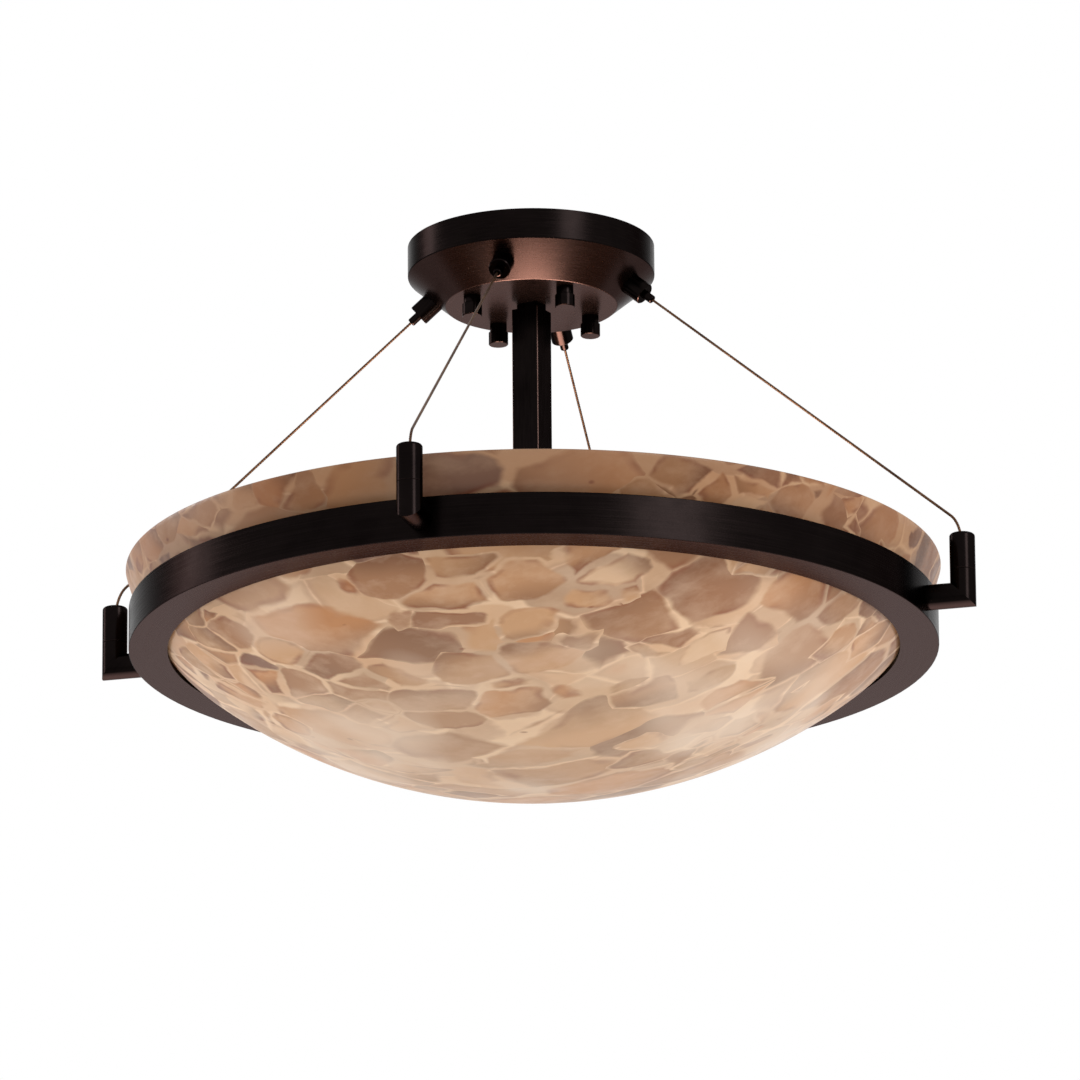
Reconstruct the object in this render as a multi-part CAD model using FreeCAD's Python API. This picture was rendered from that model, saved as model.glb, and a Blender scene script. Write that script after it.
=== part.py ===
import FreeCAD, Part
import math
import os

# A semi flush ceiling light: a round canopy with a square stem and three lamps,
# and a shallow bowl in a ring that hangs from the canopy on four steel cables.
# Millimetres. The ceiling is the plane z = 0, and the stem's axis is the Z axis.
# Four cables run to -Y, +X, +Y and -X, and the four cap nuts lie between them.

# Main heights: the bowl's lowest point below the ceiling, and the bowl from there to its rim
overall_height = 314.8
bowl_height = 123.9

# Canopy, a spun shell: band, cone and flat floor
canopy_radius = 69.85
canopy_wall = 1.2
canopy_band_height = 17.2
canopy_depth = 34.8
canopy_cone_run = 21.35
canopy_edge_round = 0.8

# Ceiling plate inside the canopy, screwed to the junction box
plate_thickness = 2.5
plate_edge_gap = 2.0
plate_wire_hole_radius = 11.0
box_screw_spacing = 88.9
box_slot_radius = 2.6
box_slot_length = 16.0
ground_screw_place = 30.0
ground_screw_radius = 2.0
ground_head_radius = 4.0
ground_head_height = 2.4

# Studs on the plate and the cap nuts that hold the canopy
nut_count = 4
nut_from_floor_edge = 10.2
stud_radius = 2.0
nut_neck_radius = 4.8
nut_neck_height = 4.3
nut_head_radius = 5.55
nut_head_height = 7.5
nut_roof = 2.5
nut_chamfer = 0.4

# Stem
nipple_radius = 4.95
nipple_bore_radius = 3.2
nipple_length_above = 9.0
lock_nut_flats = 14.3
lock_nut_height = 4.0
washer_radius = 9.5
washer_thickness = 1.2
neck_radius = 8.2
neck_height = 3.0
stem_side = 16.5
stem_wall = 1.6
stem_corner_radius = 0.5
stem_turn = -13.0
plug_length = 14.0

# Lamp cluster on the stem's lower end
lamp_count = 3
lamp_above_pole = 94.8
hub_flats = 54.0
hub_height = 36.0
hub_wall = 1.2
hub_cover_thickness = 1.6
hub_cover_overlap = 2.0
finial_radius = 8.0
finial_height = 9.0
finial_roof = 3.0
lower_nipple_entry = 10.0
holder_length = 40.0
holder_rear_radius = 17.0
holder_front_radius = 20.0
holder_cavity_radius = 15.0
holder_cavity_depth = 28.0
holder_step_back = 2.0
holder_step_length = 5.0
holder_edge_chamfer = 1.0
holder_nipple_length = 12.0
shell_wall = 0.4
shell_length = 22.0
contact_radius = 4.0
contact_height = 2.0

# Lamps, screwed into the holders
bulb_cap_radius = 13.1
bulb_cap_length = 25.0
bulb_cap_slope = 3.0
bulb_cap_floor = 1.0
bulb_tip_radius = 4.5
bulb_tip_height = 2.5
bulb_radius = 30.0
bulb_length = 106.0
bulb_neck_radius = 14.0
bulb_glass_wall = 1.0

# Cables and the grippers that clamp them on the canopy's cone
cable_count = 4
cable_radius = 0.8
cable_tail = 33.0
cable_bend_share = 0.45
gripper_exit_past_canopy = 1.25
gripper_exit_below_canopy = 3.1
gripper_body_radius = 6.25
gripper_front_wall = 2.0
gripper_cavity_play = 0.6
gripper_cavity_radius = 4.2
gripper_chamfer = 0.5
shank_radius = 4.0
shank_bore_radius = 1.4
shank_length = 9.0
gripper_nut_flats = 12.0
gripper_nut_height = 4.5
plunger_radius = 2.4
plunger_bore_radius = 1.15
plunger_reach = 6.0
plunger_tail = 5.4
plunger_collar_radius = 3.8
plunger_collar_length = 1.5
plunger_end_round = 0.9
plunger_travel = 1.5

# Ring, round the bowl's side
ring_band_gap = 4.4
ring_below_rim = 23.7
ring_height = 23.5
ring_band_wall = 3.0
ring_flange_thickness = 2.4
ring_edge_chamfer = 0.3

# Posts on the ring: a screw cap over a mitred elbow
post_rim_gap = 10.75
post_radius = 7.15
post_above_ring = 23.5
post_below_ring_top = 18.8
post_cap_height = 21.3
post_top_round = 1.8
seam_chamfer = 0.25
cap_roof = 5.0
cap_bore_radius = 5.0
cap_cable_hole_radius = 1.6
spigot_height = 6.5
cable_stop_radius = 2.8
cable_stop_length = 7.0
cable_corner_height = 6.0
cable_entry = 10.6
ring_screw_radius = 2.5
ring_screw_depth = 12.0
ring_screw_head_radius = 4.5
ring_screw_head_height = 2.8

# Bowl: two tangent arcs, the lower one centred on the Z axis
bowl_lower_radius = 308.8
bowl_lower_angle = 37.6
bowl_upper_radius = 112.9
bowl_wall = 6.0
bowl_rim_round = 1.2

# How far a cutter runs past the face that it cuts
overrun = 1.0

# Clearances
thread_gap = 0.05
seat_gap = 0.05
moving_gap = 0.3
hole_gap = 0.3


def point(r, z):
    return FreeCAD.Vector(r, 0, z)


origin = point(0, 0)
up = FreeCAD.Vector(0, 0, 1)


def outline_solid(corners):
    """Turn a closed outline of (radius, height) corners about the Z axis."""
    points = [point(r, z) for r, z in corners]
    wire = Part.makePolygon(points + points[:1])
    return Part.Face(wire).revolve(origin, up, 360)


def rod(radius, low, high):
    return Part.makeCylinder(radius, high - low, point(0, low))


def tube(outer, inner, low, high):
    return rod(outer, low, high).cut(rod(inner, low - 1, high + 1))


def hexagon(flats, low, high):
    """A hexagon bar about the Z axis with one pair of flats facing +Y and -Y."""
    corner = flats / 2 / math.cos(math.radians(30))
    corners = []
    for n in range(6):
        a = math.radians(60 * n)
        corners.append(FreeCAD.Vector(corner * math.cos(a), corner * math.sin(a), low))
    face = Part.Face(Part.makePolygon(corners + corners[:1]))
    return face.extrude(FreeCAD.Vector(0, 0, high - low))


def circle_edges(solid, radius, height):
    """The round edges of a solid about the Z axis at one radius and height."""
    found = []
    for edge in solid.Edges:
        if edge.Degenerated or not isinstance(edge.Curve, Part.Circle):
            continue
        curve = edge.Curve
        centred = curve.Center.sub(point(0, height)).Length < 1e-4
        if centred and abs(curve.Radius - radius) < 1e-4:
            found.append(edge)
    return found


def turned(shape, angle):
    copy = shape.copy()
    copy.rotate(origin, up, angle)
    return copy


def around(shape, count, first):
    return [turned(shape, first + 360.0 * n / count) for n in range(count)]


def carried(shape, start, direction):
    """Move a shape made along the Z axis to a start point and a direction."""
    copy = shape.copy()
    copy.Placement = FreeCAD.Placement(start, FreeCAD.Rotation(up, direction))
    return copy


def save(name, shape):
    if not shape.isValid():
        raise ValueError(name + " is not a valid solid")
    shape.exportStep("parts/" + name + ".step")


first_cable_angle = -90.0
first_nut_angle = first_cable_angle + 180.0 / cable_count
first_lamp_angle = 90.0

# Places that follow from the main sizes

canopy_floor_radius = canopy_radius - canopy_cone_run
nut_circle_radius = canopy_floor_radius - nut_from_floor_edge
bowl_pole = -overall_height
bowl_rim_height = bowl_pole + bowl_height
lamp_plane = bowl_pole + lamp_above_pole
ring_top = bowl_rim_height - ring_below_rim
post_top = ring_top + post_above_ring
post_seam = post_top - post_cap_height
post_bottom = ring_top - post_below_ring_top

# Where the bowl's side puts the ring and the posts

lower_centre = bowl_pole + bowl_lower_radius
lower_turn = math.radians(bowl_lower_angle)
upper_centre_r = (bowl_lower_radius - bowl_upper_radius) * math.sin(lower_turn)
upper_centre_z = lower_centre - (bowl_lower_radius - bowl_upper_radius) * math.cos(lower_turn)


def bowl_radius_at(height, inset):
    """The bowl's radius at a height on its upper arc, on the surface inset from the outside."""
    return upper_centre_r + math.sqrt((bowl_upper_radius - inset) ** 2 - (upper_centre_z - height) ** 2)


ring_radius = bowl_radius_at(ring_top, 0) + ring_band_gap + ring_band_wall
post_circle_radius = bowl_radius_at(bowl_rim_height, 0) + post_rim_gap + post_radius


# Canopy, plate and their fasteners

def canopy_outside(inset):
    """The canopy's outer form as a filled solid, moved inwards by inset."""
    slope = math.atan2(canopy_depth - canopy_band_height, canopy_radius - canopy_floor_radius)
    corner = inset * math.tan(slope / 2)
    return outline_solid([
        (0, 1),
        (canopy_radius - inset, 1),
        (canopy_radius - inset, -canopy_band_height + corner),
        (canopy_floor_radius - corner, -canopy_depth + inset),
        (0, -canopy_depth + inset),
    ])


def canopy_solid():
    outer = canopy_outside(0).cut(rod(2 * canopy_radius, 0, 2))
    edges = circle_edges(outer, canopy_radius, -canopy_band_height)
    edges += circle_edges(outer, canopy_floor_radius, -canopy_depth)
    outer = outer.makeFillet(canopy_edge_round, edges)
    shell = outer.cut(canopy_outside(canopy_wall))
    shell = shell.cut(rod(nipple_radius + thread_gap, -canopy_depth - 1, 0))
    stud_hole = rod(stud_radius + hole_gap, -canopy_depth - 1, 0)
    stud_hole.translate(point(nut_circle_radius, 0))
    for hole in around(stud_hole, nut_count, first_nut_angle):
        shell = shell.cut(hole)
    shank_hole = along_cable(rod(shank_radius + hole_gap, -cable_tail, 0))
    for hole in around(shank_hole, cable_count, first_cable_angle):
        shell = shell.cut(hole)
    return shell


def ceiling_plate_solid():
    radius = canopy_radius - canopy_wall - plate_edge_gap
    plate = rod(radius, -plate_thickness, 0)
    plate = plate.cut(rod(plate_wire_hole_radius, -plate_thickness - overrun, overrun))
    half = box_slot_length / 2 - box_slot_radius
    for side in (-1, 1):
        centre = side * box_screw_spacing / 2
        corner = FreeCAD.Vector(centre - half, -box_slot_radius, -plate_thickness - overrun)
        slot = Part.makeBox(2 * half, 2 * box_slot_radius, plate_thickness + 2 * overrun, corner)
        plate = plate.cut(slot)
        for end in (-half, half):
            slot_end = rod(box_slot_radius, -plate_thickness - overrun, overrun)
            slot_end.translate(point(centre + end, 0))
            plate = plate.cut(slot_end)
    stud_hole = rod(stud_radius + thread_gap, -plate_thickness - overrun, overrun)
    stud_hole.translate(point(nut_circle_radius, 0))
    for hole in around(stud_hole, nut_count, first_nut_angle):
        plate = plate.cut(hole)
    ground_hole = rod(ground_screw_radius + thread_gap, -plate_thickness - overrun, overrun)
    ground_hole.translate(FreeCAD.Vector(0, ground_screw_place, 0))
    return plate.cut(ground_hole)


def ground_screw_solid():
    head_top = -plate_thickness
    screw = rod(ground_screw_radius, head_top - ground_head_height / 2, head_top + plate_thickness)
    head = rod(ground_head_radius, head_top - ground_head_height, head_top)
    low_edges = circle_edges(head, ground_head_radius, head_top - ground_head_height)
    head = head.makeChamfer(nut_chamfer, low_edges)
    slot_depth = ground_head_height / 3
    head_low = head_top - ground_head_height
    corner = FreeCAD.Vector(-1.5 * ground_head_radius, -ground_screw_radius / 4, head_low)
    slot = Part.makeBox(3 * ground_head_radius, ground_screw_radius / 2, slot_depth, corner)
    screw = screw.fuse(head).removeSplitter().cut(slot)
    screw.translate(FreeCAD.Vector(0, ground_screw_place, 0))
    return screw


nut_length = nut_neck_height + nut_head_height
nut_bottom = -canopy_depth - nut_length
stud_bottom = nut_bottom + nut_roof + 1.0


def stud_solids():
    stud = rod(stud_radius, stud_bottom, 0)
    stud.translate(point(nut_circle_radius, 0))
    return Part.makeCompound(around(stud, nut_count, first_nut_angle))


def cap_nut_solids():
    shoulder = -canopy_depth - nut_neck_height
    nut = outline_solid([
        (stud_radius + thread_gap, -canopy_depth),
        (nut_neck_radius, -canopy_depth),
        (nut_neck_radius, shoulder),
        (nut_head_radius - nut_chamfer, shoulder),
        (nut_head_radius, shoulder - nut_chamfer),
        (nut_head_radius, nut_bottom + nut_chamfer),
        (nut_head_radius - nut_chamfer, nut_bottom),
        (0, nut_bottom),
        (0, nut_bottom + nut_roof),
        (stud_radius + thread_gap, nut_bottom + nut_roof),
    ])
    nut.translate(point(nut_circle_radius, 0))
    return Part.makeCompound(around(nut, nut_count, first_nut_angle))


# Stem

canopy_floor_inside = -canopy_depth + canopy_wall
stem_top = -canopy_depth - neck_height
hub_top = lamp_plane + hub_height / 2
hub_bottom = lamp_plane - hub_height / 2


def upper_nipple_solid():
    high = canopy_floor_inside + nipple_length_above
    return tube(nipple_radius, nipple_bore_radius, stem_top - plug_length, high)


def washer_solid(low):
    return tube(washer_radius, nipple_radius + thread_gap, low, low + washer_thickness)


def lock_nut_solid(low):
    nut = hexagon(lock_nut_flats, low, low + lock_nut_height)
    return nut.cut(rod(nipple_radius + thread_gap, low - 1, low + lock_nut_height + 1))


def stem_neck_solid():
    return tube(neck_radius, nipple_radius + thread_gap, stem_top, -canopy_depth)


def rounded_square(side, corner, low, high):
    box = Part.makeBox(side, side, high - low, FreeCAD.Vector(-side / 2, -side / 2, low))
    upright = [e for e in box.Edges if abs(e.Vertexes[0].Z - e.Vertexes[1].Z) > 1e-6]
    return box.makeFillet(corner, upright)


def stem_tube_solid():
    outer = rounded_square(stem_side, stem_corner_radius, hub_top, stem_top)
    hollow = rounded_square(stem_side - 2 * stem_wall, stem_corner_radius / 2, hub_top - 1, stem_top + 1)
    return turned(outer.cut(hollow), stem_turn)


def plug_solid(low, high):
    side = stem_side - 2 * stem_wall - 2 * seat_gap
    plug = rounded_square(side, stem_corner_radius / 2, low, high)
    plug = plug.cut(rod(nipple_radius + thread_gap, low - 1, high + 1))
    return turned(plug, stem_turn)


# Lamp cluster

holder_rear = hub_flats / 2
holder_front = holder_rear + holder_length
cavity_floor = holder_front - holder_cavity_depth
contact_front = cavity_floor + contact_height
lamp_start = contact_front + moving_gap
cover_low = hub_bottom - hub_cover_thickness


def along_lamp(shape):
    """Move a shape made along Z to the first lamp's axis, before it is turned to its place."""
    return carried(shape, point(0, lamp_plane), FreeCAD.Vector(1, 0, 0))


def hub_solid():
    shell = hexagon(hub_flats, hub_bottom, hub_top)
    shell = shell.cut(hexagon(hub_flats - 2 * hub_wall, hub_bottom - 1, hub_top - hub_wall))
    shell = turned(shell, first_lamp_angle - 90.0)
    shell = shell.cut(rod(nipple_radius + thread_gap, hub_bottom, hub_top + 1))
    hole = along_lamp(rod(nipple_radius + thread_gap, 0, holder_rear + 1))
    for opening in around(hole, lamp_count, first_lamp_angle):
        shell = shell.cut(opening)
    return shell


def hub_cover_solid():
    flats = hub_flats + 2 * hub_cover_overlap
    cover = hexagon(flats, cover_low, hub_bottom)
    lip = hexagon(hub_flats - 2 * hub_wall - 2 * seat_gap, hub_bottom, hub_bottom + hub_cover_overlap)
    cover = cover.fuse(lip).removeSplitter()
    cover = turned(cover, first_lamp_angle - 90.0)
    return cover.cut(rod(nipple_radius + thread_gap, cover_low - 1, hub_bottom + hub_cover_overlap + 1))


def lower_nipple_solid():
    low = cover_low - finial_height + finial_roof + 0.5
    return tube(nipple_radius, nipple_bore_radius, low, hub_top + lower_nipple_entry)


def finial_solid():
    low = cover_low - finial_height
    finial = rod(finial_radius, low, cover_low)
    finial = finial.makeFillet(finial_height / 3, circle_edges(finial, finial_radius, low))
    return finial.cut(rod(nipple_radius + thread_gap, low + finial_roof, cover_low + 1))


def holder_solid():
    c = holder_edge_chamfer
    step_start = cavity_floor - holder_step_back
    body = outline_solid([
        (0, holder_rear),
        (holder_rear_radius - c, holder_rear),
        (holder_rear_radius, holder_rear + c),
        (holder_rear_radius, step_start),
        (holder_front_radius, step_start + holder_step_length),
        (holder_front_radius, holder_front - c),
        (holder_front_radius - c, holder_front),
        (holder_cavity_radius, holder_front),
        (holder_cavity_radius, cavity_floor),
        (0, cavity_floor),
    ])
    nipple_depth = holder_rear + holder_nipple_length / 2
    return along_lamp(body.cut(rod(nipple_radius + thread_gap, holder_rear - 1, nipple_depth)))


def holder_nipple_solid():
    middle = holder_rear
    half = holder_nipple_length / 2
    return along_lamp(tube(nipple_radius, nipple_bore_radius, middle - half, middle + half - 0.2))


def holder_lock_nut_solid():
    high = holder_rear - hub_wall
    low = high - lock_nut_height / 2
    nut = hexagon(lock_nut_flats, low, high)
    return along_lamp(nut.cut(rod(nipple_radius + thread_gap, low - 1, high + 1)))


def screw_shell_solid():
    inner = bulb_cap_radius + moving_gap
    high = cavity_floor + shell_length
    return along_lamp(tube(inner + shell_wall, inner, cavity_floor, high))


def contact_solid():
    return along_lamp(rod(contact_radius, cavity_floor, contact_front))


cap_start = lamp_start + bulb_tip_height
cap_end = cap_start + bulb_cap_length
bulb_end = lamp_start + bulb_length


def bulb_cap_solid():
    slope = bulb_cap_slope
    inside = bulb_cap_radius - bulb_glass_wall
    cap = outline_solid([
        (0, lamp_start),
        (bulb_tip_radius, lamp_start),
        (bulb_tip_radius, lamp_start + bulb_tip_height / 2),
        (bulb_cap_radius - slope, cap_start),
        (bulb_cap_radius, cap_start + slope),
        (bulb_cap_radius, cap_end),
        (inside, cap_end),
        (inside, cap_start + slope),
        (bulb_tip_radius, cap_start + bulb_cap_floor),
        (0, cap_start + bulb_cap_floor),
    ])
    return along_lamp(cap)


def bulb_outline(inset):
    """The glass bulb's half outline from its neck to its pole, moved inwards by inset."""
    centre = bulb_end - bulb_radius
    radius = bulb_radius - inset
    neck_radius_here = bulb_neck_radius - inset
    widest = point(radius, centre)
    side = point(radius * math.cos(math.radians(45)), centre + radius * math.sin(math.radians(45)))
    crown = Part.Arc(widest, side, point(0, centre + radius)).toShape()
    shoulder = centre - bulb_radius
    neck_top = point(neck_radius_here, shoulder)
    curve = Part.BezierCurve()
    curve.setPoles([neck_top, point(neck_radius_here + 1, shoulder + bulb_radius / 3),
                    point(radius, centre - bulb_radius / 2), widest])
    neck_low = point(neck_radius_here, cap_end)
    base = point(0, cap_end)
    edges = [
        Part.makeLine(base, neck_low),
        Part.makeLine(neck_low, neck_top),
        curve.toShape(),
        crown,
        Part.makeLine(point(0, centre + radius), base),
    ]
    return Part.Face(Part.Wire(edges)).revolve(origin, up, 360)


def bulb_glass_solid():
    return along_lamp(bulb_outline(0).cut(bulb_outline(bulb_glass_wall)))


# Cables and grippers. Each is made at angle 0, where the cable lies in the XZ plane.

cable_exit = point(canopy_radius + gripper_exit_past_canopy, -canopy_depth - gripper_exit_below_canopy)
cable_corner = point(post_circle_radius, post_top + cable_corner_height)
cable_end = point(post_circle_radius, post_top - cable_entry)
cable_direction = cable_corner.sub(cable_exit).normalize()


def along_cable(shape):
    """Move a shape made along Z so that its 0 is the cable's exit and +Z is the way out."""
    return carried(shape, cable_exit, cable_direction)


def cone_distance():
    """How far the canopy's cone lies behind the exit, along the cable."""
    run = canopy_radius - canopy_floor_radius
    rise = canopy_depth - canopy_band_height
    normal = FreeCAD.Vector(rise, 0, -run).normalize()
    gap = cable_exit.sub(point(canopy_floor_radius, -canopy_depth))
    return gap.dot(normal) / cable_direction.dot(normal)


body_front = -plunger_reach
cavity_front = body_front - gripper_front_wall
cavity_back = cavity_front - plunger_tail - plunger_travel - gripper_cavity_play
shank_back = -cone_distance() - shank_length


def gripper_body_solid():
    body = rod(gripper_body_radius, shank_back, body_front)
    body = body.makeChamfer(gripper_chamfer, circle_edges(body, gripper_body_radius, body_front))
    body = along_cable(body).cut(canopy_outside(-seat_gap))
    body = body.fuse(along_cable(rod(shank_radius, shank_back, cavity_back))).removeSplitter()
    body = body.cut(along_cable(rod(gripper_cavity_radius, cavity_back, cavity_front)))
    body = body.cut(along_cable(rod(plunger_radius + moving_gap, cavity_front - 1, 1)))
    return body.cut(along_cable(rod(shank_bore_radius, shank_back - 1, cavity_front)))


def gripper_nut_solid():
    back = -cone_distance() - gripper_nut_height - canopy_wall
    nut = hexagon(gripper_nut_flats, back, 0)
    nut = nut.cut(rod(shank_radius + thread_gap, back - 1, 1))
    return along_cable(nut).common(canopy_outside(canopy_wall + seat_gap))


def plunger_solid():
    back = cavity_front - plunger_tail
    collar_front = cavity_front - moving_gap
    collar_back = collar_front - plunger_collar_length
    plunger = rod(plunger_radius, back, 0)
    plunger = plunger.makeFillet(plunger_end_round, circle_edges(plunger, plunger_radius, 0))
    plunger = plunger.fuse(rod(plunger_collar_radius, collar_back, collar_front)).removeSplitter()
    return along_cable(plunger.cut(rod(plunger_bore_radius, back - 1, 1)))


def cable_solid():
    """A straight tube from inside the canopy, one tangent arc, and a straight end in the post."""
    start = cable_exit.sub(FreeCAD.Vector(cable_direction).multiply(cable_tail))
    turn = cable_direction.getAngle(FreeCAD.Vector(0, 0, -1))
    last_run = cable_corner.sub(cable_end).Length
    tangent = cable_bend_share * last_run
    radius = tangent / math.tan(turn / 2)
    bend_start = cable_corner.sub(FreeCAD.Vector(cable_direction).multiply(tangent))
    bend_end = cable_corner.sub(FreeCAD.Vector(0, 0, tangent))
    centre = bend_end.sub(FreeCAD.Vector(radius, 0, 0))
    middle_angle = turn / 2
    middle = centre.add(FreeCAD.Vector(radius * math.cos(middle_angle), 0, radius * math.sin(middle_angle)))
    path = Part.Wire([
        Part.LineSegment(start, bend_start).toShape(),
        Part.Arc(bend_start, middle, bend_end).toShape(),
        Part.LineSegment(bend_end, cable_end).toShape(),
    ])
    section = Part.Wire([Part.Circle(start, cable_direction, cable_radius).toShape()])
    solid = path.makePipeShell([section], True, False)
    ratio = solid.Volume / (math.pi * cable_radius ** 2 * path.Length)
    print("cable bend radius %.2f, length %.2f, volume over section times length %.5f"
          % (radius, path.Length, ratio))
    return solid


# Posts, made at angle 0 as well

def post_cap_solid():
    cap = tube(post_radius, cap_bore_radius, post_seam, post_top - cap_roof)
    roof = tube(post_radius, cap_cable_hole_radius, post_top - cap_roof, post_top)
    cap = cap.fuse(roof).removeSplitter()
    cap = cap.makeFillet(post_top_round, circle_edges(cap, post_radius, post_top))
    cap = cap.makeChamfer(seam_chamfer, circle_edges(cap, post_radius, post_seam))
    cap.translate(point(post_circle_radius, 0))
    return cap


arm_height = post_bottom + post_radius


def post_elbow_solid():
    reach = 2 * post_radius
    leg = rod(post_radius, post_bottom - reach, post_seam)
    leg = leg.makeChamfer(seam_chamfer, circle_edges(leg, post_radius, post_seam))
    arm_start = point(ring_radius - post_circle_radius - reach / 2, arm_height)
    arm_length = post_circle_radius - ring_radius + reach
    arm = Part.makeCylinder(post_radius, arm_length, arm_start, FreeCAD.Vector(1, 0, 0))
    far = 10 * post_radius
    mitre = Part.makePolygon([
        point(-far, arm_height + far), point(far, arm_height - far),
        point(far, arm_height + far), point(-far, arm_height + far),
    ])
    outer_side = Part.Face(mitre)
    outer_side.translate(FreeCAD.Vector(0, -far, 0))
    outer_side = outer_side.extrude(FreeCAD.Vector(0, 2 * far, 0))
    elbow = leg.common(outer_side).fuse(arm.cut(outer_side)).removeSplitter()
    spigot = rod(cap_bore_radius - thread_gap, post_seam, post_seam + spigot_height)
    elbow = elbow.fuse(spigot)
    elbow.translate(point(post_circle_radius, 0))
    elbow = elbow.cut(rod(ring_radius + seat_gap, post_bottom - reach, post_top))
    return elbow.cut(screw_hole(ring_screw_radius + thread_gap, ring_screw_depth + 1))


def screw_hole(radius, depth):
    """A rod on the ring screw's axis, from inside the ring to depth beyond its outer face."""
    start = ring_radius - 4 * ring_band_wall
    length = ring_radius + depth - start
    return Part.makeCylinder(radius, length, point(start, arm_height), FreeCAD.Vector(1, 0, 0))


def cable_stop_solid():
    high = post_top - cap_roof
    stop = rod(cable_stop_radius, high - cable_stop_length, high)
    stop = stop.cut(rod(cable_radius + thread_gap, post_top - cable_entry, high + 1))
    stop.translate(point(post_circle_radius, 0))
    return stop


def ring_screw_solid():
    seat = ring_radius - ring_band_wall - 2 * seat_gap
    shank = Part.makeCylinder(ring_screw_radius, ring_band_wall + ring_screw_depth,
                              point(seat, arm_height), FreeCAD.Vector(1, 0, 0))
    head = Part.makeCylinder(ring_screw_head_radius, ring_screw_head_height,
                             point(seat - ring_screw_head_height, arm_height), FreeCAD.Vector(1, 0, 0))
    inside = rod(ring_radius - ring_band_wall - seat_gap, post_bottom - post_radius, post_top)
    return shank.fuse(head.common(inside)).removeSplitter()


# Bowl and ring

def bowl_outline(inset):
    """The bowl's outer or inner form as a filled solid up to the rim."""
    lower = bowl_lower_radius - inset
    upper = bowl_upper_radius - inset
    pole = point(0, lower_centre - lower)
    half = lower_turn / 2
    lower_middle = point(lower * math.sin(half), lower_centre - lower * math.cos(half))
    joint = point(lower * math.sin(lower_turn), lower_centre - lower * math.cos(lower_turn))
    rim = point(bowl_radius_at(bowl_rim_height, inset), bowl_rim_height)
    rim_angle = math.atan2(rim.x - upper_centre_r, upper_centre_z - rim.z)
    middle_angle = (lower_turn + rim_angle) / 2
    upper_middle = point(upper_centre_r + upper * math.sin(middle_angle),
                         upper_centre_z - upper * math.cos(middle_angle))
    top = point(0, bowl_rim_height)
    edges = [
        Part.Arc(pole, lower_middle, joint).toShape(),
        Part.Arc(joint, upper_middle, rim).toShape(),
        Part.makeLine(rim, top),
        Part.makeLine(top, pole),
    ]
    return Part.Face(Part.Wire(edges)).revolve(origin, up, 360)


def bowl_solid():
    bowl = bowl_outline(0).cut(bowl_outline(bowl_wall))
    edges = circle_edges(bowl, bowl_radius_at(bowl_rim_height, 0), bowl_rim_height)
    edges += circle_edges(bowl, bowl_radius_at(bowl_rim_height, bowl_wall), bowl_rim_height)
    return bowl.makeFillet(bowl_rim_round, edges)


def ring_solid():
    bottom = ring_top - ring_height
    flange_top = bottom + ring_flange_thickness
    inner = ring_radius - ring_band_wall
    lip = bowl_radius_at(flange_top, 0) + moving_gap
    c = ring_edge_chamfer
    ring = outline_solid([
        (ring_radius - c, ring_top),
        (ring_radius, ring_top - c),
        (ring_radius, bottom + c),
        (ring_radius - c, bottom),
        (lip, bottom),
        (lip, flange_top),
        (inner, flange_top),
        (inner, ring_top - c),
        (inner + c, ring_top),
    ])
    for hole in around(screw_hole(ring_screw_radius + thread_gap, 1), cable_count, first_cable_angle):
        ring = ring.cut(hole)
    return ring


os.makedirs("parts", exist_ok=True)

save("ceiling_plate", ceiling_plate_solid())
save("ground_screw", ground_screw_solid())
save("canopy_studs", stud_solids())
save("canopy", canopy_solid())
save("canopy_cap_nuts", cap_nut_solids())

save("upper_nipple", upper_nipple_solid())
save("upper_washer", washer_solid(canopy_floor_inside))
save("upper_lock_nut", lock_nut_solid(canopy_floor_inside + washer_thickness))
save("stem_neck", stem_neck_solid())
save("stem_tube", stem_tube_solid())
save("stem_upper_plug", plug_solid(stem_top - plug_length, stem_top))
save("stem_lower_plug", plug_solid(hub_top, hub_top + plug_length))

save("lamp_hub", hub_solid())
save("lamp_hub_cover", hub_cover_solid())
save("lower_nipple", lower_nipple_solid())
save("lower_lock_nut", lock_nut_solid(hub_top - hub_wall - lock_nut_height))
save("finial", finial_solid())
save("holder_nipples", Part.makeCompound(around(holder_nipple_solid(), lamp_count, first_lamp_angle)))
save("holder_lock_nuts", Part.makeCompound(around(holder_lock_nut_solid(), lamp_count, first_lamp_angle)))
save("centre_contacts", Part.makeCompound(around(contact_solid(), lamp_count, first_lamp_angle)))
save("screw_shells", Part.makeCompound(around(screw_shell_solid(), lamp_count, first_lamp_angle)))

holders = around(holder_solid(), lamp_count, first_lamp_angle)
bulb_caps = around(bulb_cap_solid(), lamp_count, first_lamp_angle)
bulb_glasses = around(bulb_glass_solid(), lamp_count, first_lamp_angle)
for n in range(lamp_count):
    save("lampholder_%d" % (n + 1), holders[n])
    save("bulb_cap_%d" % (n + 1), bulb_caps[n])
    save("bulb_glass_%d" % (n + 1), bulb_glasses[n])

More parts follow.
